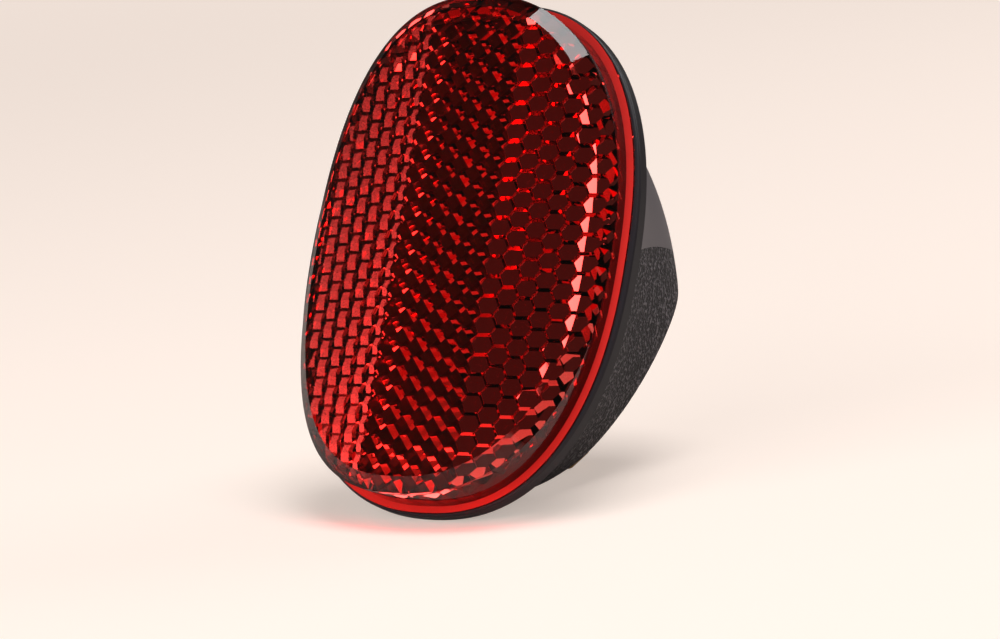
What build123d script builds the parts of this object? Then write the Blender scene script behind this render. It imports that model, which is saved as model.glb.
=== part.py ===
from build123d import *
import os
from math import atan2, ceil, cos, degrees, pi, radians, sin, sqrt, tan

# Oval rear reflector for a bicycle mudguard, lying on its back foot: the rim of the
# bezel and the nut of the mounting bolt touch the ground, so the lens leans back.
# Sizes are in millimetres. Depths run back from the front of the lens.

# how far the middle of the footprint is behind the lens's front
ground_middle = 17.854

# lens outline: half width, half height and roundness of each oval
flange_half_w = 30.76
flange_half_h = 44.27
flange_round = 2.37
wall_half_w = 29.45
wall_half_h = 43.15
wall_round = 2.36

# lens depths
front_radius = 69.0
flange_depth = 10.6
flange_thick = 1.6
shoulder_run = 2.5
shoulder_drop = 1.5
skirt_thick = 1.3

# corner-cube prisms behind the front face
prism_depth = 5.0
prism_row = 3.35
prism_column_mid = 2.84
prism_column_side = 2.99
middle_half_w = 9.09
side_slope = 12.7
mid_first = (-4.08, 33.86)
left_first = (-9.10, 35.82)
right_first = (13.09, 28.14)

# bezel and the floor behind the lens
bezel_lip = 1.13
bezel_front = 10.9
bezel_back = 13.4
lens_side_gap = 0.08
lip_blend = 0.5
bezel_round = 2.3
floor_gap = 0.7
floor_thick = 1.6
spigot_gap = 0.25

# housing behind the bezel: depth, half width, top and bottom of each section
housing_round = 2.26
housing_inset = 0.6
housing_sections = ((27.0, 21.95, 38.0, -37.6), (41.0, 19.7, 33.9, -33.3), (58.0, 15.2, -10.8, -24.7))
housing_wall = 2.2
core_step = 26.0
core_half_w = 19.3
core_half_h = 33.5
core_flare = 29.0
core_draft = 8.0
apex_depth = 51.5
apex_height = 6.0
foot_slope = 24.0
crown_slope = 16.7
apex_blend = 5.0
saddle_radius = 45.0
saddle_half_w = 13.0
foot_wall = 6.0
boss_radius = 6.5
boss_root = 0.5
socket_gap = 0.1

# parting of the cover and the body
cover_gap = 0.4
seam_height = -0.75
seam_end = 20.0
seam_rise = (30.0, 6.4)
seam_top = (48.5, 12.5)

# mounting bolt with nut and washer
bolt_d = 5.0
bolt_chamfer = 0.5
bolt_head_flats = 8.0
bolt_head_thick = 3.5
bolt_hole_gap = 0.25
bolt_height = -17.7
bolt_stand_off = 13.5
nut_flats = 8.0
nut_thick = 4.0
nut_proud = 0.5
nut_corner = 0.45
washer_d = 10.0
washer_thick = 1.0
washer_bore_gap = 0.15


def lean_angle():
    """Lean at which the bezel's lower rim and the nut's edge are level."""
    tip_depth, tip_height = bolt_tip()
    nut_end_depth = tip_depth - nut_proud * cos(radians(foot_slope))
    nut_end_height = tip_height + nut_proud * sin(radians(foot_slope))
    edge_depth = nut_end_depth - nut_flats / 2 * sin(radians(foot_slope))
    edge_height = nut_end_height - nut_flats / 2 * cos(radians(foot_slope))
    return degrees(atan2(edge_height + flange_half_h + bezel_lip / 2, edge_depth - bezel_back))


def bolt_root():
    """Depth and height where the bolt's axis crosses the foot's plane."""
    return apex_depth - tan(radians(foot_slope)) * (apex_height - bolt_height), bolt_height


def bolt_tip():
    """Depth and height of the bolt's free end."""
    depth, height = bolt_root()
    return depth + bolt_stand_off * cos(radians(foot_slope)), height - bolt_stand_off * sin(radians(foot_slope))


lean = lean_angle()
lens_up = Vector(0, sin(radians(lean)), cos(radians(lean)))
lens_back = Vector(0, cos(radians(lean)), -sin(radians(lean)))
lens_height = (flange_half_h + bezel_lip / 2) * cos(radians(lean)) + bezel_back * sin(radians(lean))
front = Plane(origin=(0, -ground_middle, lens_height), x_dir=(1, 0, 0), z_dir=-lens_back)


def at_depth(depth):
    """Plane parallel to the lens, facing forward, that far behind its front."""
    return front.offset(-depth)


def side_plane(x):
    """Vertical plane along the lens: its x runs back, its y runs up the lens."""
    return Plane(origin=front.from_local_coords(Vector(x, 0, 0)), x_dir=lens_back, z_dir=lens_back.cross(lens_up))


def oval_points(half_w, half_h, roundness, middle=0.0, count=24):
    """Points round an oval that is squarer than an ellipse."""
    points = []
    for i in range(count):
        c = cos(2 * pi * i / count)
        s = sin(2 * pi * i / count)
        x = half_w * abs(c) ** (2 / roundness) * (1 if c > 0 else -1)
        y = half_h * abs(s) ** (2 / roundness) * (1 if s > 0 else -1)
        points.append((x, middle + y))
    return points


def oval(plane, half_w, half_h, roundness, middle=0.0):
    """Closed oval profile on a plane."""
    with BuildSketch(plane) as profile:
        with BuildLine():
            Spline(*oval_points(half_w, half_h, roundness, middle), periodic=True)
        make_face()
    return profile.sketch


def facet_oval(plane, half_w, half_h, roundness, count):
    """Oval profile of straight sides, for cores and pockets."""
    with BuildSketch(plane) as profile:
        Polygon(*oval_points(half_w, half_h, roundness, count=count), align=None)
    return profile.sketch


def across(height):
    """Plane square to the lens at that height: its x runs right, its y runs back."""
    return Plane(origin=front.from_local_coords(Vector(0, height, 0)), x_dir=(1, 0, 0), z_dir=lens_up)


def hexagon(row, column):
    """Corners of one prism seen from the front: the odd ones stand forward."""
    side = column / 1.5
    corners = ((1, 0), (0.5, 1), (-0.5, 1), (-1, 0), (-0.5, -1), (0.5, -1))
    return [(side * x, row / 2 * y) for x, y in corners]


def prism_centres(first, row, column, low, high, hinge):
    """Tips of the hexagonal field between two widths, within the lens oval."""
    centres = []
    reach_w = wall_half_w - skirt_thick + 0.62 * row
    reach_h = wall_half_h - skirt_thick + 0.62 * row
    for i in range(ceil((low - first[0]) / column) - 1, ceil((high - first[0]) / column) + 1):
        for j in range(-4, 32):
            x = first[0] + i * column
            y = first[1] - (j + 0.5 * (i % 2)) * row
            if abs((abs(x) + hinge) / reach_w) ** wall_round + abs(y / reach_h) ** wall_round < 1:
                centres.append((i, j, x, y))
    return centres


def prism_air(plane, first, row, column, low, high, hinge=0.0):
    """Closed solid of the air behind a field of corner cubes, whose tips point back."""
    rise = row / sqrt(6)
    steps = ((2, 0), (1, 1), (-1, 1), (-2, 0), (-1, -1), (1, -1))
    ring = hexagon(row, column)
    faces = []
    walls = {}
    for i, j, x, y in prism_centres(first, row, column, low, high, hinge):
        tip = Vector(x, y, -rise)
        top = [Vector(x + dx, y + dy, rise * (k % 2)) for k, (dx, dy) in enumerate(ring)]
        base = [Vector(x + dx, y + dy, -air_depth) for dx, dy in ring]
        for k in (1, 3, 5):
            faces.append([tip, top[k - 1], top[k], top[(k + 1) % 6]])
        faces.append(base)
        for k in range(6):
            key = (6 * i + steps[k][0] + steps[k - 5][0], -4 * j - 2 * (i % 2) + steps[k][1] + steps[k - 5][1])
            if key in walls:
                walls.pop(key)
            else:
                walls[key] = [top[k], top[(k + 1) % 6], base[(k + 1) % 6], base[k]]
    sides = [Wire.make_polygon([plane.from_local_coords(p) for p in f]) for f in faces + list(walls.values())]
    return Solid(Shell([Face(side) for side in sides]))


def pocket_slice(low, high):
    """Profile of the lens's pocket between two widths."""
    with BuildSketch(at_depth(flange_depth + flange_thick)) as profile:
        Polygon(*oval_points(wall_half_w - skirt_thick, wall_half_h - skirt_thick, wall_round, count=64), align=None)
        with Locations(((low + high) / 2, 0)):
            Rectangle(high - low, 4 * wall_half_h, mode=Mode.INTERSECT)
    return profile.sketch


air_depth = 12.0
pocket_depth = flange_depth + flange_thick


def side_zone(x, slope):
    """Prism plane of a side zone, hinged where it meets the middle zone."""
    tilted = at_depth(prism_depth).rotated((0, slope, 0))
    hinge = front.from_local_coords(Vector(x, 0, -prism_depth))
    return Plane(origin=hinge, x_dir=tilted.x_dir, z_dir=tilted.z_dir)


right_plane = side_zone(middle_half_w, side_slope)
left_plane = side_zone(-middle_half_w, -side_slope)
side_stretch = cos(radians(side_slope))

with BuildPart() as mid_air:
    add(prism_air(at_depth(prism_depth), mid_first, prism_row, prism_column_mid, -middle_half_w, middle_half_w))
    extrude(pocket_slice(-middle_half_w, middle_half_w), amount=pocket_depth, mode=Mode.INTERSECT)

with BuildPart() as right_air:
    start = ((right_first[0] - middle_half_w) / side_stretch, right_first[1])
    width = (wall_half_w - middle_half_w) / side_stretch
    add(prism_air(right_plane, start, prism_row, prism_column_side, 0, width, middle_half_w))
    extrude(pocket_slice(middle_half_w, wall_half_w), amount=pocket_depth, mode=Mode.INTERSECT)

with BuildPart() as left_air:
    start = ((left_first[0] + middle_half_w) / side_stretch, left_first[1])
    add(prism_air(left_plane, start, prism_row, prism_column_side, -width, 0, middle_half_w))
    extrude(pocket_slice(-wall_half_w, -middle_half_w), amount=pocket_depth, mode=Mode.INTERSECT)

with BuildPart() as reflector_lens:
    extrude(oval(at_depth(pocket_depth), wall_half_w, wall_half_h, wall_round), amount=pocket_depth)
    with BuildSketch(across(-2 * wall_half_h)):
        with Locations((0, front_radius)):
            Circle(front_radius)
    extrude(amount=4 * wall_half_h, mode=Mode.INTERSECT)
    dome = reflector_lens.faces().filter_by(GeomType.CYLINDER)[0]
    chamfer(dome.edges(), length=shoulder_run, length2=shoulder_drop, reference=dome)
    extrude(oval(at_depth(pocket_depth), flange_half_w, flange_half_h, flange_round), amount=flange_thick)
    add([mid_air.part, left_air.part, right_air.part], clean=False, mode=Mode.SUBTRACT)


def housing_sections_at(inset):
    """Ovals of the housing from the bezel back to the foot, drawn in by an inset."""
    half_w = flange_half_w + bezel_lip - housing_inset
    half_h = flange_half_h + bezel_lip / 2 - housing_inset
    ovals = [oval(at_depth(bezel_back), half_w - inset, half_h - inset, housing_round)]
    for depth, section_w, top, bottom in housing_sections:
        half = (top - bottom) / 2 - inset
        ovals.append(oval(at_depth(depth), section_w - inset, half, housing_round, (top + bottom) / 2))
    return ovals


def side_profile(start, rear):
    """Side view of the housing: sloping foot, blended apex and crown."""
    reach = flange_half_h + housing_wall * 3
    foot_end = rear - tan(radians(foot_slope)) * (apex_height + reach)
    crown_end = rear - tan(radians(crown_slope)) * reach
    with BuildSketch(side_plane(0)) as profile:
        with BuildLine():
            Polyline(
                (start, -reach),
                (foot_end, -reach),
                (rear, apex_height),
                (crown_end, apex_height + reach),
                (start, apex_height + reach),
                close=True,
            )
        make_face()
        fillet(profile.vertices().sort_by(Axis.X)[-1], radius=apex_blend)
    return profile.sketch


def housing_form(inset, start, rear):
    """Solid of the housing between a depth and the foot."""
    with BuildPart() as form:
        loft(housing_sections_at(inset))
        extrude(side_profile(start, rear), amount=2 * flange_half_w, both=True, mode=Mode.INTERSECT)
    return form.part


def bracket_side():
    """Side view of what the bracket body keeps of the housing: all below the parting."""
    low = -2 * flange_half_h
    with BuildSketch(side_plane(0)) as profile:
        with BuildLine():
            seam = Line((0, seam_height), (seam_end, seam_height))
            rise = ThreePointArc(seam @ 1, seam_rise, seam_top)
            Polyline(rise @ 1, (2 * apex_depth, seam_top[1]), (2 * apex_depth, low), (0, low), seam @ 0)
        make_face()
    return profile.sketch


def bolt_plane(distance):
    """Plane square to the bolt's axis, that far out from its root and facing out."""
    depth, height = bolt_root()
    root = front.from_local_coords(Vector(0, height, -depth))
    axis = lens_back * cos(radians(foot_slope)) - lens_up * sin(radians(foot_slope))
    return Plane(origin=root + axis * distance, x_dir=(1, 0, 0), z_dir=axis)


floor_back = pocket_depth + floor_gap + floor_thick
spigot_inset = housing_inset + housing_wall + spigot_gap
floor_half_w = flange_half_w + bezel_lip - spigot_inset
floor_half_h = flange_half_h + bezel_lip / 2 - spigot_inset

with BuildPart() as core:
    extrude(facet_oval(at_depth(core_step), core_half_w, core_half_h, 2.0, 16), amount=core_step - floor_back, taper=-core_flare)
    extrude(facet_oval(at_depth(core_step), core_half_w, core_half_h, 2.0, 16), amount=-apex_depth, taper=core_draft)
    rear = apex_depth - foot_wall / cos(radians(foot_slope))
    extrude(side_profile(floor_back, rear), amount=2 * flange_half_w, both=True, mode=Mode.INTERSECT)

saddle_reach = sqrt(saddle_radius**2 - saddle_half_w**2)
bolt_axis = bolt_plane(0).z_dir
slope_up = bolt_plane(0).y_dir

with BuildPart() as bracket_body:
    add(housing_form(0, bezel_back, apex_depth))
    extrude(bracket_side(), amount=2 * flange_half_w, both=True, mode=Mode.INTERSECT)
    add(core.part, mode=Mode.SUBTRACT)
    # bezel with its rounded lip, and the floor behind the lens
    rim = oval(at_depth(bezel_back), flange_half_w + bezel_lip, flange_half_h + bezel_lip / 2, bezel_round)
    extrude(rim, amount=bezel_back - bezel_front)
    lip = bracket_body.faces().sort_by(Axis(front.origin, front.z_dir))[-1]
    fillet(lip.edges(), radius=lip_blend)
    extrude(facet_oval(at_depth(floor_back), floor_half_w, floor_half_h, 2.2, 48), amount=floor_back - bezel_back)
    seat = oval(at_depth(pocket_depth), flange_half_w + lens_side_gap, flange_half_h + lens_side_gap, flange_round)
    extrude(seat, amount=pocket_depth, mode=Mode.SUBTRACT)
    dish = facet_oval(at_depth(pocket_depth + floor_gap), wall_half_w - skirt_thick, wall_half_h - skirt_thick, wall_round, 64)
    extrude(dish, amount=pocket_depth, mode=Mode.SUBTRACT)
    # boss with a hexagonal socket that holds the bolt's head
    with BuildSketch(bolt_plane(-foot_wall - bolt_head_thick)):
        Circle(boss_radius)
        RegularPolygon((bolt_head_flats + 2 * socket_gap) / 2, 6, major_radius=False, mode=Mode.SUBTRACT)
    extrude(amount=bolt_head_thick + boss_root)
    # hole for the bolt and the hollow that sits on the mudguard
    with BuildSketch(bolt_plane(-foot_wall)):
        Circle(bolt_d / 2 + bolt_hole_gap)
    extrude(amount=foot_wall, mode=Mode.SUBTRACT)
    with BuildSketch(Plane(origin=bolt_plane(saddle_reach).origin, x_dir=bolt_axis, z_dir=slope_up)):
        Circle(saddle_radius)
    extrude(amount=2 * flange_half_h, both=True, mode=Mode.SUBTRACT)

with BuildPart() as top_cover:
    add(housing_form(0, bezel_back + cover_gap, apex_depth))
    extrude(bracket_side(), amount=2 * flange_half_w, both=True, mode=Mode.SUBTRACT)
    add(core.part, mode=Mode.SUBTRACT)
    # recess that locates on the edge of the body's floor
    recess_back = at_depth(floor_back + spigot_gap)
    recess = facet_oval(recess_back, floor_half_w + spigot_gap, floor_half_h + spigot_gap, 2.2, 48)
    extrude(recess, amount=floor_back, mode=Mode.SUBTRACT)

with BuildPart() as mounting_bolt:
    with BuildSketch(bolt_plane(-foot_wall - bolt_head_thick)):
        RegularPolygon(bolt_head_flats / 2, 6, major_radius=False)
    extrude(amount=bolt_head_thick)
    with BuildSketch(bolt_plane(-foot_wall)):
        Circle(bolt_d / 2)
    extrude(amount=foot_wall + bolt_stand_off)
    chamfer(mounting_bolt.faces().sort_by(Axis(bolt_plane(0).origin, bolt_axis))[-1].edges(), length=bolt_chamfer)

nut_face = bolt_stand_off - nut_proud - nut_thick
with BuildPart() as hex_nut:
    with BuildSketch(bolt_plane(nut_face)):
        RegularPolygon(nut_flats / 2, 6, major_radius=False)
    extrude(amount=nut_thick)
    with BuildSketch(bolt_plane(nut_face)):
        Circle(nut_flats / 2 + nut_corner)
    extrude(amount=nut_thick, mode=Mode.INTERSECT)
    with BuildSketch(bolt_plane(nut_face)):
        Circle(bolt_d / 2)
    extrude(amount=nut_thick, mode=Mode.SUBTRACT)

with BuildPart() as plain_washer:
    with BuildSketch(bolt_plane(nut_face - washer_thick)):
        Circle(washer_d / 2)
        Circle(bolt_d / 2 + washer_bore_gap, mode=Mode.SUBTRACT)
    extrude(amount=washer_thick)

os.makedirs("parts", exist_ok=True)
reflector_lens.part.label = "reflector_lens"
export_step(reflector_lens.part, "parts/reflector_lens.step")
bracket_body.part.label = "bracket_body"
export_step(bracket_body.part, "parts/bracket_body.step")
top_cover.part.label = "top_cover"
export_step(top_cover.part, "parts/top_cover.step")
mounting_bolt.part.label = "mounting_bolt"
export_step(mounting_bolt.part, "parts/mounting_bolt.step")
hex_nut.part.label = "hex_nut"
export_step(hex_nut.part, "parts/hex_nut.step")
plain_washer.part.label = "plain_washer"
export_step(plain_washer.part, "parts/plain_washer.step")
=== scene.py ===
"""Oval rear reflector of a bicycle, leaning back on its foot on a pale table.

The lens is built here with its three fields of prisms and takes the place of the
CAD lens. The other CAD nodes keep their shapes and get the finishes of their real
materials. The stage gives a pale floor, soft light and the camera.
"""

import math
from collections import namedtuple

import bmesh
import bpy
from bpy.props import FloatProperty, FloatVectorProperty, PointerProperty
from mathutils import Euler, Matrix, Vector


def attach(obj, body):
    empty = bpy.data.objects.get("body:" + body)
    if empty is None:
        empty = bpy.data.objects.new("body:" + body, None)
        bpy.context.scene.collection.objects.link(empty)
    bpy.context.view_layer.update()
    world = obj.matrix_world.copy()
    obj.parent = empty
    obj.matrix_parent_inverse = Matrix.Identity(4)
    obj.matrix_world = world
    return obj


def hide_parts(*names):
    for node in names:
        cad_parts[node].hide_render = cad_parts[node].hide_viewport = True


bl_info = {
    "name": "Bicycle rear reflector",
    "version": (1, 0, 0),
    "blender": (4, 5, 0),
    "location": "View3D > Sidebar > Reflector",
    "description": "Finishes an oval rear reflector and sets it on a pale table",
    "category": "Object",
}

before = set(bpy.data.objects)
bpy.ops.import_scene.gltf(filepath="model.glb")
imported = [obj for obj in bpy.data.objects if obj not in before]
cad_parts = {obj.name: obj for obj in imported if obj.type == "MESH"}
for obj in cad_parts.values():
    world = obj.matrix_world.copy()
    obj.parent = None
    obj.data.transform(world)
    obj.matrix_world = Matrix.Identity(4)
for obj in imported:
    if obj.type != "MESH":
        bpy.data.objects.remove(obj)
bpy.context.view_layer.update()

MM = 0.001
METRE = 1000.0  # in millimetres
# the lens's own frame: where its front apex is, and how far it leans back
LENS_PLACE = Vector((0.0, -17.854, 46.2104)) * MM
LENS_LEAN = math.radians(25.703)

# sizes of the lens in its own frame, in millimetres
FRONT_RADIUS = 69.0
FRONT_OVAL = (26.95, 40.65)
WALL_OVAL = (29.45, 43.15)
FLANGE_OVAL = (30.76, 44.27)
POCKET_OVAL = (28.15, 41.85)
ROUNDNESS = 2.36
FLANGE_ROUNDNESS = 2.37
OUTLINE_POINTS = 256
POCKET_POINTS = 64
SHOULDER_DEPTH = 1.5
FLANGE_FRONT = 10.6
FLANGE_BACK = 12.2
POCKET_FRONT = 0.5
POCKET_BACK = 14.0

# the fields of prisms: half the width of the middle one, how far back its bases lie,
# how far the side ones lean, and how long the pins are that leave their air behind
MIDDLE_HALF_W = 9.09
FIELD_DEPTH = 5.0
SIDE_SLOPE = math.radians(12.7)
PIN_LENGTH = 12.0
# how many rows and columns are tried, and how far past the pocket a prism still counts
ROWS = range(-4, 32)
SPARE_COLUMNS = 3
PIN_MARGIN = 0.9
# middle of the first prism of each field, across the lens and up it
MIDDLE_FIRST = (-4.08, 33.86)
RIGHT_FIRST = (13.09, 28.14)
LEFT_FIRST = (-9.10, 35.82)
# corners of a prism's hexagon, in radii across and half rows up
HEXAGON = ((1, 0), (0.5, 1), (-0.5, 1), (-1, 0), (-0.5, -1), (0.5, -1))
RADII_PER_COLUMN = 1.5
# corners are the same place when they round to the same one of this many steps in a
# millimetre, heights when they differ by less than this in millimetres, and vertices
# when they are closer than this in metres
CORNER_STEPS = 50
SAME_HEIGHT = 1e-4
WELD = 0.00001

# both finishes of the lens, by their place in its list of materials
CLEAR, MATT = 0, 1

# refraction of acrylic
ACRYLIC_IOR = 1.49
# half the width of the step from the smooth bezel to the grained foot, in millimetres
STEP_HALF_W = 0.1

# sockets of a colour mix that have to be named by number
MIX_FACTOR, MIX_FROM, MIX_TO, MIX_RESULT = 0, 6, 7, 2

# the camera, fitted to the outline of the reflector and the edges of its three fields
CAMERA_PLACE = (0.31823, -0.51054, 0.12031)
CAMERA_TURN = (81.3743, 4.4518, 31.2152)
CAMERA_LENS = 128.65
CAMERA_SENSOR = 36.0
CAMERA_CLIP = 0.01

# the lamps: where each one stands, what it points at, and its size, in metres
Lamp = namedtuple("Lamp", "name place target size")
KEY = Lamp("key", (0.42, -0.1, 1.75), (0.0, 0.0, 0.05), (1.0, 1.0))
FILL = Lamp("fill", (0.6, 1.0, 0.7), (0.0, 0.0, 0.03), (0.9, 0.5))
CARD = Lamp("card", (-0.1, -1.15, 0.4), (0.0, 0.0, 0.05), (1.1, 0.75))
SPILL = Lamp("spill", (0.004, -0.036, 0.012), (0.004, -0.042, 0.0), (0.036, 0.008))
SPILL_COLOUR = "#FF1808"

# the table: its size, how much of its colour is left to the camera and to reflections,
# and how far from the middle its glow starts and ends to rise
TABLE_SIZE = 12.0
TONE_SEEN = 0.68
TONE_MIRRORED = 0.6
GLOW_FROM = 0.1
GLOW_TO = 2.2

# one field of prisms: its frame, how its pins turn, the middle of its first prism, the
# pitch of its columns, its reach along its own slope, its reach across the lens, and the
# finish of the walls between its prisms
Field = namedtuple(
    "Field", "name origin slope cant turn first column low high left right walls"
)


def linear(colour):
    """Linear red, green, blue and alpha of an sRGB hex colour."""
    parts = [int(colour[i : i + 2], 16) / 255 for i in (1, 3, 5)]
    return [c / 12.92 if c <= 0.04045 else ((c + 0.055) / 1.055) ** 2.4 for c in parts] + [1.0]


def add_node(tree, kind, settings=None, sockets=None):
    """Adds a node, sets its settings, and fills or links its input sockets."""
    node = tree.nodes.new(kind)
    for name, value in (settings or {}).items():
        setattr(node, name, value)
    for name, value in (sockets or {}).items():
        if isinstance(value, bpy.types.NodeSocket):
            tree.links.new(value, node.inputs[name])
        else:
            node.inputs[name].default_value = value
    return node


def new_material(name):
    """Empty node material with its output node."""
    material = bpy.data.materials.new(name)
    material.use_nodes = True
    material.node_tree.nodes.clear()
    return material, material.node_tree, add_node(material.node_tree, "ShaderNodeOutputMaterial")


def dress(node, material):
    """Gives a CAD node one material on all its faces."""
    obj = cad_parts[node]
    if not obj.material_slots:
        obj.data.materials.append(material)
    for slot in obj.material_slots:
        slot.material = material


def lens_coordinates(tree):
    """Position in the lens's frame in millimetres: x right, y back into the lens, z up it."""
    place = add_node(tree, "ShaderNodeTexCoord")
    return add_node(
        tree,
        "ShaderNodeMapping",
        {"vector_type": "POINT"},
        {
            "Vector": place.outputs["Object"],
            "Location": Matrix.Rotation(LENS_LEAN, 3, "X") @ -LENS_PLACE * METRE,
            "Rotation": (LENS_LEAN, 0.0, 0.0),
            "Scale": (METRE, METRE, METRE),
        },
    )


def lens_point(x, height, depth):
    """A place in the lens's frame, given in millimetres, as a point of the row frame."""
    lean = Matrix.Rotation(-LENS_LEAN, 3, "X")
    return LENS_PLACE + lean @ Vector((x, depth, height)) * MM


def oval_points(half_w, half_h, roundness, count):
    """Points round an oval that is squarer than an ellipse, paired top to bottom."""
    points = []
    for i in range(count):
        c = math.cos(2 * math.pi * i / count)
        s = math.sin(2 * math.pi * i / count)
        x = math.copysign(half_w * abs(c) ** (2 / roundness), c)
        y = math.copysign(half_h * abs(s) ** (2 / roundness), s)
        points.append((x, y))
    return points


def new_piece(name, bm):
    """Object of a bmesh, in the scene."""
    mesh = bpy.data.meshes.new(name)
    bm.to_mesh(mesh)
    bm.free()
    piece = bpy.data.objects.new(name, mesh)
    bpy.context.collection.objects.link(piece)
    return piece


def add_boolean(piece, operation, tool):
    """Boolean of a piece with a tool that isn't shown."""
    boolean = piece.modifiers.new(operation.lower(), "BOOLEAN")
    boolean.operation = operation
    boolean.solver = "EXACT"
    boolean.object = tool


def apply_modifiers(piece):
    """Replaces a piece's mesh with what its modifiers make of it."""
    graph = bpy.context.evaluated_depsgraph_get()
    mesh = bpy.data.meshes.new_from_object(piece.evaluated_get(graph))
    piece.modifiers.clear()
    piece.data = mesh


class LensSettings(bpy.types.PropertyGroup):
    """Shape and look of the red lens."""

    row: FloatProperty(
        name="Row",
        description="Pitch of the prism rows in mm",
        default=3.35,
        min=1.0,
    )
    middle_column: FloatProperty(
        name="Middle columns",
        description="Pitch of the middle columns in mm",
        default=2.84,
        min=1.0,
    )
    side_column: FloatProperty(
        name="Side columns",
        description="Pitch of the side columns in mm",
        default=2.99,
        min=1.0,
    )
    right_cant: FloatProperty(
        name="Right cant",
        description="How far the right prisms turn outwards from their own plane",
        subtype="ANGLE",
        default=math.radians(14.0),
    )
    left_cant: FloatProperty(
        name="Left cant",
        description="How far the left prisms turn outwards from their own plane",
        subtype="ANGLE",
        default=math.radians(19.0),
    )
    middle_turn: FloatProperty(
        name="Middle turn",
        description="Turn of the middle prisms: none or half a turn",
        subtype="ANGLE",
        default=math.pi,
    )
    left_turn: FloatProperty(
        name="Left turn",
        description="Turn of the left prisms: none or half a turn",
        subtype="ANGLE",
        default=0.0,
    )
    right_turn: FloatProperty(
        name="Right turn",
        description="Turn of the right prisms: none or half a turn",
        subtype="ANGLE",
        default=math.pi,
    )
    colour: FloatVectorProperty(
        name="Tint",
        description="What the acrylic lets through at each surface",
        subtype="COLOR",
        default=linear("#FF9D92")[:3],
        min=0.0,
        max=1.0,
    )
    body_colour: FloatVectorProperty(
        name="Body colour",
        description="What is left of white light deep in the acrylic",
        subtype="COLOR",
        default=linear("#FF1A12")[:3],
        min=0.0,
        max=1.0,
    )
    wall_colour: FloatVectorProperty(
        name="Wall colour",
        description="Colour of the matt acrylic on prism sides and flange",
        subtype="COLOR",
        default=linear("#C21E18")[:3],
        min=0.0,
        max=1.0,
    )
    density: FloatProperty(
        name="Density",
        description="How fast the dye takes up light, per metre",
        default=160.0,
        min=0.0,
    )


class PlasticSettings(bpy.types.PropertyGroup):
    """Look of the black mouldings."""

    colour: FloatVectorProperty(
        name="Colour",
        description="Colour of the black plastic",
        subtype="COLOR",
        default=linear("#232024")[:3],
        min=0.0,
        max=1.0,
    )
    # painted highlight: this paler colour is painted on the crests of the grain in place of the
    # light they catch
    crest_highlight_colour: FloatVectorProperty(
        name="Crest colour",
        description="Colour of the crests of the grain, which catch the light",
        subtype="COLOR",
        default=linear("#6C676C")[:3],
        min=0.0,
        max=1.0,
    )
    cover_colour: FloatVectorProperty(
        name="Cover colour",
        description="Colour of the satin cover",
        subtype="COLOR",
        default=linear("#5C575B")[:3],
        min=0.0,
        max=1.0,
    )
    grain: FloatProperty(
        name="Grain",
        description="Width of one pit of the eroded texture",
        subtype="DISTANCE",
        unit="LENGTH",
        default=0.00055,
        min=0.0001,
    )
    smooth_depth: FloatProperty(
        name="Smooth to",
        description="How far behind the lens's front the bare smooth band ends",
        subtype="DISTANCE",
        unit="LENGTH",
        default=0.0168,
        min=0.0,
    )


class ZincSettings(bpy.types.PropertyGroup):
    """Look of the plated fasteners."""

    colour: FloatVectorProperty(
        name="Colour",
        description="Colour of the yellow passivation",
        subtype="COLOR",
        default=linear("#D9B97C")[:3],
        min=0.0,
        max=1.0,
    )


class StageSettings(bpy.types.PropertyGroup):
    """Floor and light."""

    floor_colour: FloatVectorProperty(
        name="Floor",
        description="Colour of the table",
        subtype="COLOR",
        default=linear("#F9EAE0")[:3],
        min=0.0,
        max=1.0,
    )
    glow: FloatProperty(
        name="Table glow",
        description="Light that the table adds for the camera only",
        default=0.47,
        min=0.0,
    )
    far_glow: FloatProperty(
        name="Far glow",
        description="The same for the table well behind the reflector",
        default=0.78,
        min=0.0,
    )
    key_power: FloatProperty(
        name="Key",
        description="Power of the large soft lamp over the right shoulder",
        subtype="POWER",
        unit="POWER",
        default=24.0,
        min=0.0,
    )
    fill_power: FloatProperty(
        name="Fill",
        description="Power of the weak soft lamp behind the right side",
        subtype="POWER",
        unit="POWER",
        default=4.0,
        min=0.0,
    )
    card_power: FloatProperty(
        name="Card",
        description="Power of the dim card low in front, which lights up the left prisms",
        subtype="POWER",
        unit="POWER",
        default=12.0,
        min=0.0,
    )
    spill: FloatProperty(
        name="Red spill",
        description="Power of the red light that the lens throws on the table",
        subtype="POWER",
        unit="POWER",
        default=0.009,
        min=0.0,
    )
    sky: FloatProperty(
        name="Room light",
        description="Strength of the even light of the room",
        default=0.06,
        min=0.0,
    )


class ReflectorSettings(bpy.types.PropertyGroup):
    """All settings of the reflector."""

    lens: PointerProperty(type=LensSettings)
    plastic: PointerProperty(type=PlasticSettings)
    zinc: PointerProperty(type=ZincSettings)
    stage: PointerProperty(type=StageSettings)


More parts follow.
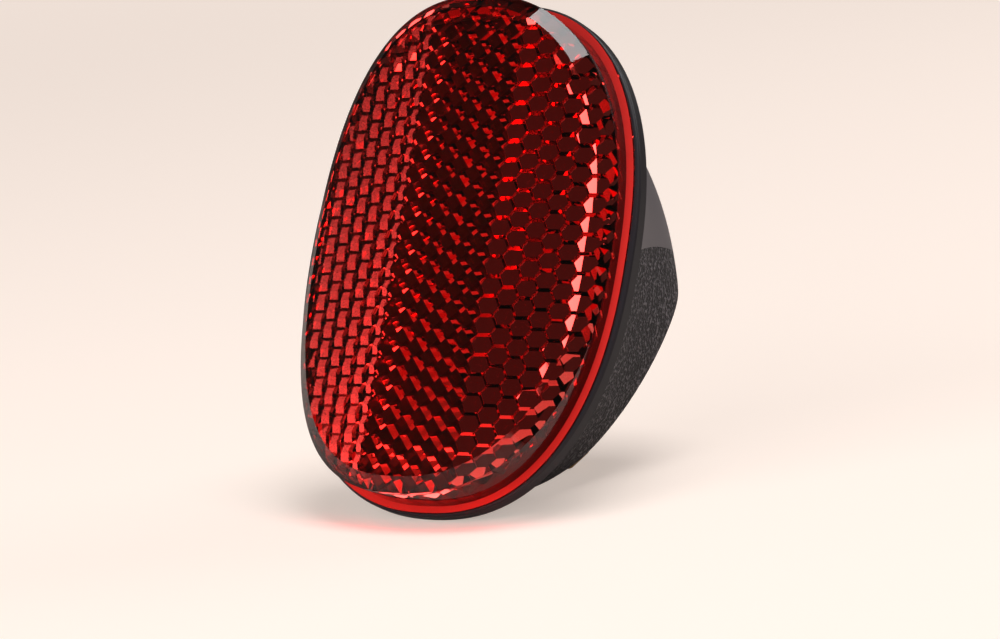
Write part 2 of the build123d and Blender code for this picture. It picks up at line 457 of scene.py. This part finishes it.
class REFLECTOR_OT_lens(bpy.types.Operator):
    """Builds the red lens with its three fields of prisms"""

    bl_idname = "reflector.lens"
    bl_label = "Lens"

    def prism_air(self, field, row):
        """Air behind one field of corner cubes: pins slid along their own axis, tips back."""
        across = Vector((math.cos(field.slope), 0.0, -math.sin(field.slope)))
        normal = Vector((math.sin(field.slope), 0.0, math.cos(field.slope)))
        axis = normal * math.cos(field.cant) + across * math.sin(field.cant)
        side = across * math.cos(field.cant) - normal * math.sin(field.cant)
        up = Vector((0.0, 1.0, 0.0))
        rise = row / math.sqrt(6)
        radius = field.column * math.cos(field.cant) / RADII_PER_COLUMN
        # with half a turn, the other three corners of the hexagon are the high ones
        forward = 1 if math.cos(field.turn) < 0 else 0
        bm = bmesh.new()
        edges = {}

        def quad(corners, finish=CLEAR):
            places = [field.origin + side * x + up * y + axis * a for x, y, a in corners]
            verts = [bm.verts.new(lens_point(p.x, p.y, -p.z)) for p in places]
            bm.faces.new(verts).material_index = finish

        for x, y, a in self.prism_places(field, row):
            top = [
                (x + radius * dx, y + row / 2 * dy, a + rise * ((k + 1 + forward) % 2))
                for k, (dx, dy) in enumerate(HEXAGON)
            ]
            base = [(px, py, a - PIN_LENGTH) for px, py, pa in top]
            for k in range(forward, forward + 6, 2):
                quad([(x, y, a - rise), top[k - 1], top[k], top[(k + 1) % 6]])
            quad(base[::-1])
            for k in range(6):
                n = (k + 1) % 6
                key = frozenset(
                    (round(px * CORNER_STEPS), round(py * CORNER_STEPS))
                    for px, py, pa in (top[k], top[n])
                )
                edges.setdefault(key, []).append((top[k], top[n], base[n], base[k]))
        # a side is closed at the field's rim, stepped between two prisms whose tips lie
        # at different depths, and left out where two prisms meet
        for walls in edges.values():
            if len(walls) == 1:
                quad(walls[0])
                continue
            one, two = walls
            if abs(one[0][2] - two[1][2]) < SAME_HEIGHT:
                continue
            quad((one[0], one[1], two[0], two[1]), field.walls)
            quad((one[3], one[2], two[3], two[2]), field.walls)
        bmesh.ops.remove_doubles(bm, verts=bm.verts, dist=WELD)
        bmesh.ops.recalc_face_normals(bm, faces=bm.faces)
        return self.finish_piece(field.name, bm)

    def prism_places(self, field, row):
        """Middle of each prism across and up its field, and how far it slides on its axis."""
        reach_w, reach_h = [half + row * PIN_MARGIN for half in POCKET_OVAL]
        start = int((field.low - field.first[0]) / field.column) - SPARE_COLUMNS
        stop = int((field.high - field.first[0]) / field.column) + SPARE_COLUMNS + 1
        places = []
        for i in range(start, stop):
            for j in ROWS:
                u = field.first[0] + i * field.column
                y = field.first[1] - (j + 0.5 * (i % 2)) * row
                x = field.origin.x + u * math.cos(field.slope)
                if not field.low - field.column < u < field.high + field.column:
                    continue
                if abs(x / reach_w) ** ROUNDNESS + abs(y / reach_h) ** ROUNDNESS > 1:
                    continue
                places.append((u * math.cos(field.cant), y, u * math.sin(field.cant)))
        return places

    def finish_piece(self, name, bm):
        """Piece with both finishes of the lens on it."""
        piece = new_piece(name, bm)
        for finish in self.finishes:
            piece.data.materials.append(finish)
        return piece

    def pocket(self, field):
        """Column of the lens's hollow back over one field."""
        half_w, half_h = POCKET_OVAL
        outline = oval_points(half_w, half_h, ROUNDNESS, POCKET_POINTS)
        around = [(x, y) for x, y in outline if field.left < x < field.right]
        for edge in (field.right, field.left):
            if abs(edge) < half_w:
                height = half_h * (1 - (abs(edge) / half_w) ** ROUNDNESS) ** (1 / ROUNDNESS)
                around += [(edge, height), (edge, -height)]
        middle = (field.left + field.right) / 2
        around.sort(key=lambda p: math.atan2(p[1], p[0] - middle))
        bm = bmesh.new()
        front, back = [
            [bm.verts.new(lens_point(x, y, depth)) for x, y in around]
            for depth in (POCKET_FRONT, POCKET_BACK)
        ]
        for k in range(len(around)):
            n = (k + 1) % len(around)
            bm.faces.new((front[k], front[n], back[n], back[k]))
        bm.faces.new(front)
        bm.faces.new(back[::-1])
        bmesh.ops.recalc_face_normals(bm, faces=bm.faces)
        return new_piece(field.name + "_pocket", bm)

    def blank(self):
        """Lens with a solid back: curved front, sloped shoulder, wall and flange."""

        def dome(x):
            return FRONT_RADIUS - math.sqrt(FRONT_RADIUS * FRONT_RADIUS - x * x)

        bm = bmesh.new()
        count = OUTLINE_POINTS
        front = oval_points(*FRONT_OVAL, ROUNDNESS, count)
        wall = oval_points(*WALL_OVAL, ROUNDNESS, count)
        flange = oval_points(*FLANGE_OVAL, FLANGE_ROUNDNESS, count)
        loops = [
            [bm.verts.new(lens_point(x, y, dome(x))) for x, y in front],
            [bm.verts.new(lens_point(x, y, dome(x) + SHOULDER_DEPTH)) for x, y in wall],
            [bm.verts.new(lens_point(x, y, FLANGE_FRONT)) for x, y in wall],
            [bm.verts.new(lens_point(x, y, FLANGE_FRONT)) for x, y in flange],
            [bm.verts.new(lens_point(x, y, FLANGE_BACK)) for x, y in flange],
        ]
        finishes = (CLEAR, CLEAR, MATT, CLEAR)
        for one, two, finish in zip(loops, loops[1:], finishes):
            for k in range(count):
                n = (k + 1) % count
                face = bm.faces.new((one[k], one[n], two[n], two[k]))
                face.smooth = True
                face.material_index = finish
        for k in range(count // 2):
            top = (loops[0][k], loops[0][k + 1])
            low = (loops[0][(-k - 1) % count], loops[0][-k % count])
            corners = list(dict.fromkeys((top[0], top[1], low[0], low[1])))
            bm.faces.new(corners).smooth = True
        bm.faces.new(loops[-1])
        bmesh.ops.recalc_face_normals(bm, faces=bm.faces)
        for loop in loops:
            for k in range(count):
                edge = bm.edges.get((loop[k], loop[(k + 1) % count]))
                edge.smooth = False
        return self.finish_piece("red_lens", bm)

    def fields(self, s):
        """The middle field of prisms and the two that lean away beside it."""
        half_w = MIDDLE_HALF_W
        stretch = math.cos(SIDE_SLOPE)
        width = (WALL_OVAL[0] - half_w) / stretch
        middle = Field(
            name="middle_air",
            origin=Vector((0, 0, -FIELD_DEPTH)),
            slope=0.0,
            cant=0.0,
            turn=s.middle_turn,
            first=MIDDLE_FIRST,
            column=s.middle_column,
            low=-half_w,
            high=half_w,
            left=-half_w,
            right=half_w,
            walls=CLEAR,
        )
        right = Field(
            name="right_air",
            origin=Vector((half_w, 0, -FIELD_DEPTH)),
            slope=SIDE_SLOPE,
            cant=s.right_cant,
            turn=s.right_turn,
            first=((RIGHT_FIRST[0] - half_w) / stretch, RIGHT_FIRST[1]),
            column=s.side_column,
            low=0.0,
            high=width,
            left=half_w,
            right=WALL_OVAL[0],
            walls=MATT,
        )
        left = Field(
            name="left_air",
            origin=Vector((-half_w, 0, -FIELD_DEPTH)),
            slope=-SIDE_SLOPE,
            cant=-s.left_cant,
            turn=s.left_turn,
            first=((half_w + LEFT_FIRST[0]) / stretch, LEFT_FIRST[1]),
            column=s.side_column,
            low=-width,
            high=0.0,
            left=-WALL_OVAL[0],
            right=-half_w,
            walls=CLEAR,
        )
        return middle, right, left

    def build(self, s):
        """The lens, with its three prism fields cut from behind."""
        lens = self.blank()
        tools = []
        for field in self.fields(s):
            air = self.prism_air(field, s.row)
            column = self.pocket(field)
            add_boolean(air, "INTERSECT", column)
            add_boolean(lens, "DIFFERENCE", air)
            tools += [air, column]
        apply_modifiers(lens)
        for tool in tools:
            bpy.data.objects.remove(tool)
        return lens

    def execute(self, context):
        s = context.scene.reflector.lens
        self.finishes = (self.clear_finish(s), self.wall_finish(s))
        lens = self.build(s)
        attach(lens, "root")
        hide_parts("reflector_lens")
        return {"FINISHED"}

    def wall_finish(self, s):
        # The same acrylic where the mould was ground and not polished: on the flange's
        # front and on the sides of the right prisms. It scatters light, so it draws a
        # bright red line round each of these prisms and round the whole lens.
        material, tree, output = new_material("red_acrylic_matt_moulding")
        skin = add_node(
            tree,
            "ShaderNodeBsdfPrincipled",
            None,
            {"Base Color": [*s.wall_colour, 1.0], "Roughness": 0.6, "IOR": ACRYLIC_IOR},
        )
        tree.links.new(skin.outputs["BSDF"], output.inputs["Surface"])
        return material

    def clear_finish(self, s):
        # Dyed acrylic, injection moulded against polished steel. It is clear, so the
        # prisms behind it show either a bright red or the dark housing behind them.
        material, tree, output = new_material("red_acrylic_polished_moulding")
        skin = add_node(
            tree,
            "ShaderNodeBsdfPrincipled",
            None,
            {
                "Base Color": [*s.colour, 1.0],
                "Roughness": 0.02,
                "IOR": ACRYLIC_IOR,
                "Transmission Weight": 1.0,
            },
        )
        dye = add_node(
            tree,
            "ShaderNodeVolumeAbsorption",
            None,
            {"Color": [*s.body_colour, 1.0], "Density": s.density},
        )
        tree.links.new(skin.outputs["BSDF"], output.inputs["Surface"])
        tree.links.new(dye.outputs["Volume"], output.inputs["Volume"])
        return material


class REFLECTOR_OT_body(bpy.types.Operator):
    """Gives the bracket body its smooth bezel and grained foot"""

    bl_idname = "reflector.body"
    bl_label = "Bracket body"

    def execute(self, context):
        s = context.scene.reflector.plastic
        # Black ABS moulded in a spark-eroded cavity. The pits scatter the light, and the
        # crests between them are painted paler as a painted highlight where they catch the
        # light, so the foot is a speckled dark grey, while the bare bezel keeps a soft gloss.
        material, tree, output = new_material("black_abs_spark_eroded_moulding")
        place = lens_coordinates(tree)
        depth = add_node(tree, "ShaderNodeSeparateXYZ", None, {"Vector": place.outputs[0]})
        edge = s.smooth_depth * METRE
        grained = add_node(
            tree,
            "ShaderNodeMapRange",
            None,
            {
                "Value": depth.outputs["Y"],
                "From Min": edge - STEP_HALF_W,
                "From Max": edge + STEP_HALF_W,
            },
        )
        pits = add_node(
            tree,
            "ShaderNodeTexNoise",
            None,
            {"Vector": place.outputs[0], "Scale": 1.0 / (s.grain * METRE), "Detail": 3.0},
        )
        steep = add_node(
            tree,
            "ShaderNodeMapRange",
            None,
            {"Value": pits.outputs["Fac"], "From Min": 0.35, "From Max": 0.65},
        )
        height = add_node(
            tree,
            "ShaderNodeMath",
            {"operation": "MULTIPLY"},
            {0: steep.outputs["Result"], 1: grained.outputs["Result"]},
        )
        bump = add_node(
            tree,
            "ShaderNodeBump",
            None,
            {"Strength": 1.0, "Distance": 0.0003, "Height": height.outputs[0]},
        )
        rough = add_node(
            tree,
            "ShaderNodeMapRange",
            None,
            {"Value": grained.outputs["Result"], "To Min": 0.38, "To Max": 0.45},
        )
        # painted highlight: the crests of the bump are painted in the paler crest colour where
        # light would catch them
        crests = add_node(
            tree,
            "ShaderNodeMapRange",
            None,
            {"Value": height.outputs[0], "From Min": 0.55, "From Max": 1.0},
        )
        speckle_and_highlight = add_node(
            tree,
            "ShaderNodeMix",
            {"data_type": "RGBA"},
            {
                MIX_FACTOR: crests.outputs["Result"],
                MIX_FROM: [*s.colour, 1.0],
                MIX_TO: [*s.crest_highlight_colour, 1.0],
            },
        )
        skin = add_node(
            tree,
            "ShaderNodeBsdfPrincipled",
            None,
            {
                "Base Color": speckle_and_highlight.outputs[MIX_RESULT],
                "Roughness": rough.outputs["Result"],
                "Specular IOR Level": 0.25,
                "Normal": bump.outputs["Normal"],
            },
        )
        tree.links.new(skin.outputs["BSDF"], output.inputs["Surface"])
        dress("bracket_body", material)
        return {"FINISHED"}


class REFLECTOR_OT_cover(bpy.types.Operator):
    """Gives the cover its satin finish"""

    bl_idname = "reflector.cover"
    bl_label = "Top cover"

    def execute(self, context):
        s = context.scene.reflector.plastic
        # Black ABS moulded against fine-blasted steel. It has a broad silky sheen
        # that brightens to grey where it turns towards the light.
        material, tree, output = new_material("black_abs_satin_moulding")
        place = lens_coordinates(tree)
        blast = add_node(
            tree,
            "ShaderNodeTexNoise",
            None,
            {"Vector": place.outputs[0], "Scale": 4.0, "Detail": 2.0},
        )
        bump = add_node(
            tree,
            "ShaderNodeBump",
            None,
            {"Strength": 0.2, "Distance": 0.00002, "Height": blast.outputs["Fac"]},
        )
        skin = add_node(
            tree,
            "ShaderNodeBsdfPrincipled",
            None,
            {
                "Base Color": [*s.cover_colour, 1.0],
                "Roughness": 0.42,
                "Normal": bump.outputs["Normal"],
            },
        )
        tree.links.new(skin.outputs["BSDF"], output.inputs["Surface"])
        dress("top_cover", material)
        return {"FINISHED"}


class REFLECTOR_OT_fasteners(bpy.types.Operator):
    """Gives bolt, nut and washer their yellow zinc"""

    bl_idname = "reflector.fasteners"
    bl_label = "Fasteners"

    def execute(self, context):
        s = context.scene.reflector.zinc
        # Steel, zinc plated and yellow passivated. It is a pale gold with a faint cloud
        # of deeper yellow, and its gloss is dull because the steel under it is drawn wire.
        material, tree, output = new_material("steel_yellow_zinc_plated")
        place = lens_coordinates(tree)
        cloud = add_node(
            tree,
            "ShaderNodeTexNoise",
            None,
            {"Vector": place.outputs[0], "Scale": 0.35, "Detail": 2.0},
        )
        rough = add_node(
            tree,
            "ShaderNodeMapRange",
            None,
            {"Value": cloud.outputs["Fac"], "To Min": 0.22, "To Max": 0.38},
        )
        skin = add_node(
            tree,
            "ShaderNodeBsdfPrincipled",
            None,
            {
                "Base Color": [*s.colour, 1.0],
                "Metallic": 1.0,
                "Roughness": rough.outputs["Result"],
            },
        )
        tree.links.new(skin.outputs["BSDF"], output.inputs["Surface"])
        for node in ("mounting_bolt", "hex_nut", "plain_washer"):
            dress(node, material)
        return {"FINISHED"}


class REFLECTOR_OT_stage(bpy.types.Operator):
    """Lays the table and sets the light and the camera"""

    bl_idname = "reflector.stage"
    bl_label = "Stage"

    def execute(self, context):
        s = context.scene.reflector.stage
        self.lay_floor(s)
        self.light_room(context, s)
        self.place_lamp(KEY, s.key_power)
        self.place_lamp(FILL, s.fill_power)
        # the card would show in the lens's front as a pale patch, so nothing mirrors it
        card = self.place_lamp(CARD, s.card_power)
        card.visible_glossy = False
        # only the table shows the red light, the lamp itself can't be seen
        spill = self.place_lamp(SPILL, s.spill)
        spill.data.color = linear(SPILL_COLOUR)[:3]
        spill.visible_camera = False
        spill.visible_glossy = False
        spill.visible_transmission = False
        self.place_camera(context)
        context.scene.view_settings.view_transform = "Standard"
        return {"FINISHED"}

    def lay_floor(self, s):
        """Table, with the finish that the camera and the reflector see."""
        bpy.ops.mesh.primitive_plane_add(size=TABLE_SIZE)
        floor = bpy.context.object
        floor.name = "table"
        # Matt white laminate. It gives back an even warm white and a soft shadow.
        material, tree, output = new_material("white_laminate_matt")
        # The camera sees a darker colour and a glow that makes up for it, which leaves the
        # table an even white and puts no light on the reflector. Mirror reflections see a
        # darker colour without the glow.
        path = add_node(tree, "ShaderNodeLightPath")
        seen = add_node(
            tree,
            "ShaderNodeMapRange",
            None,
            {"Value": path.outputs["Is Camera Ray"], "To Min": 1.0, "To Max": TONE_SEEN},
        )
        shown = add_node(
            tree,
            "ShaderNodeMapRange",
            None,
            {
                "Value": path.outputs["Is Glossy Ray"],
                "To Min": seen.outputs["Result"],
                "To Max": TONE_MIRRORED,
            },
        )
        tone = add_node(
            tree,
            "ShaderNodeVectorMath",
            {"operation": "SCALE"},
            {0: s.floor_colour, "Scale": shown.outputs["Result"]},
        )
        skin = add_node(
            tree,
            "ShaderNodeBsdfPrincipled",
            None,
            {"Base Color": tone.outputs[0], "Roughness": 0.6},
        )
        place = add_node(tree, "ShaderNodeTexCoord")
        reach = add_node(
            tree, "ShaderNodeVectorMath", {"operation": "LENGTH"}, {0: place.outputs["Object"]}
        )
        level = add_node(
            tree,
            "ShaderNodeMapRange",
            {"interpolation_type": "SMOOTHSTEP"},
            {
                "Value": reach.outputs["Value"],
                "From Min": GLOW_FROM,
                "From Max": GLOW_TO,
                "To Min": s.glow,
                "To Max": s.far_glow,
            },
        )
        strength = add_node(
            tree,
            "ShaderNodeMath",
            {"operation": "MULTIPLY"},
            {0: path.outputs["Is Camera Ray"], 1: level.outputs["Result"]},
        )
        glow = add_node(
            tree,
            "ShaderNodeEmission",
            None,
            {"Color": [*s.floor_colour, 1.0], "Strength": strength.outputs[0]},
        )
        both = add_node(
            tree,
            "ShaderNodeAddShader",
            None,
            {0: skin.outputs["BSDF"], 1: glow.outputs["Emission"]},
        )
        tree.links.new(both.outputs[0], output.inputs["Surface"])
        floor.data.materials.append(material)

    def light_room(self, context, s):
        """Weak even light, which the camera sees as a pale background."""
        world = bpy.data.worlds.new("room")
        context.scene.world = world
        world.use_nodes = True
        tree = world.node_tree
        tree.nodes.clear()
        path = add_node(tree, "ShaderNodeLightPath")
        strength = add_node(
            tree,
            "ShaderNodeMapRange",
            None,
            {"Value": path.outputs["Is Camera Ray"], "To Min": s.sky, "To Max": 1.0},
        )
        sky = add_node(
            tree,
            "ShaderNodeBackground",
            None,
            {"Color": [*s.floor_colour, 1.0], "Strength": strength.outputs["Result"]},
        )
        output = add_node(tree, "ShaderNodeOutputWorld")
        tree.links.new(sky.outputs["Background"], output.inputs["Surface"])

    def place_lamp(self, lamp, power):
        """Rectangular lamp that points at its target."""
        light = bpy.data.lights.new(lamp.name, "AREA")
        light.shape = "RECTANGLE"
        light.size, light.size_y = lamp.size
        light.energy = power
        obj = bpy.data.objects.new(lamp.name, light)
        obj.location = lamp.place
        aim = Vector(lamp.target) - Vector(lamp.place)
        obj.rotation_euler = aim.to_track_quat("-Z", "Y").to_euler()
        bpy.context.collection.objects.link(obj)
        return obj

    def place_camera(self, context):
        """Camera of the photograph."""
        data = bpy.data.cameras.new("camera")
        data.sensor_width = CAMERA_SENSOR
        data.lens = CAMERA_LENS
        camera = bpy.data.objects.new("camera", data)
        camera.location = CAMERA_PLACE
        camera.rotation_euler = Euler([math.radians(a) for a in CAMERA_TURN])
        data.clip_start = CAMERA_CLIP
        bpy.context.collection.objects.link(camera)
        context.scene.camera = camera


class REFLECTOR_PT_panel(bpy.types.Panel):
    """Lists the settings and the steps"""

    bl_label = "Rear reflector"
    bl_idname = "REFLECTOR_PT_panel"
    bl_space_type = "VIEW_3D"
    bl_region_type = "UI"
    bl_category = "Reflector"

    def draw(self, context):
        settings = context.scene.reflector
        groups = (
            (settings.lens, (REFLECTOR_OT_lens,)),
            (settings.plastic, (REFLECTOR_OT_body, REFLECTOR_OT_cover)),
            (settings.zinc, (REFLECTOR_OT_fasteners,)),
            (settings.stage, (REFLECTOR_OT_stage,)),
        )
        for group, operators in groups:
            box = self.layout.box()
            for name in group.__annotations__:
                box.prop(group, name)
            for operator in operators:
                box.operator(operator.bl_idname)


classes = (
    LensSettings,
    PlasticSettings,
    ZincSettings,
    StageSettings,
    ReflectorSettings,
    REFLECTOR_OT_lens,
    REFLECTOR_OT_body,
    REFLECTOR_OT_cover,
    REFLECTOR_OT_fasteners,
    REFLECTOR_OT_stage,
    REFLECTOR_PT_panel,
)


def register():
    for item in classes:
        bpy.utils.register_class(item)
    bpy.types.Scene.reflector = PointerProperty(type=ReflectorSettings)


def unregister():
    del bpy.types.Scene.reflector
    for item in reversed(classes):
        bpy.utils.unregister_class(item)


def main():
    register()
    bpy.ops.reflector.lens()
    bpy.ops.reflector.body()
    bpy.ops.reflector.cover()
    bpy.ops.reflector.fasteners()
    bpy.ops.reflector.stage()


if __name__ == "__main__":
    main()
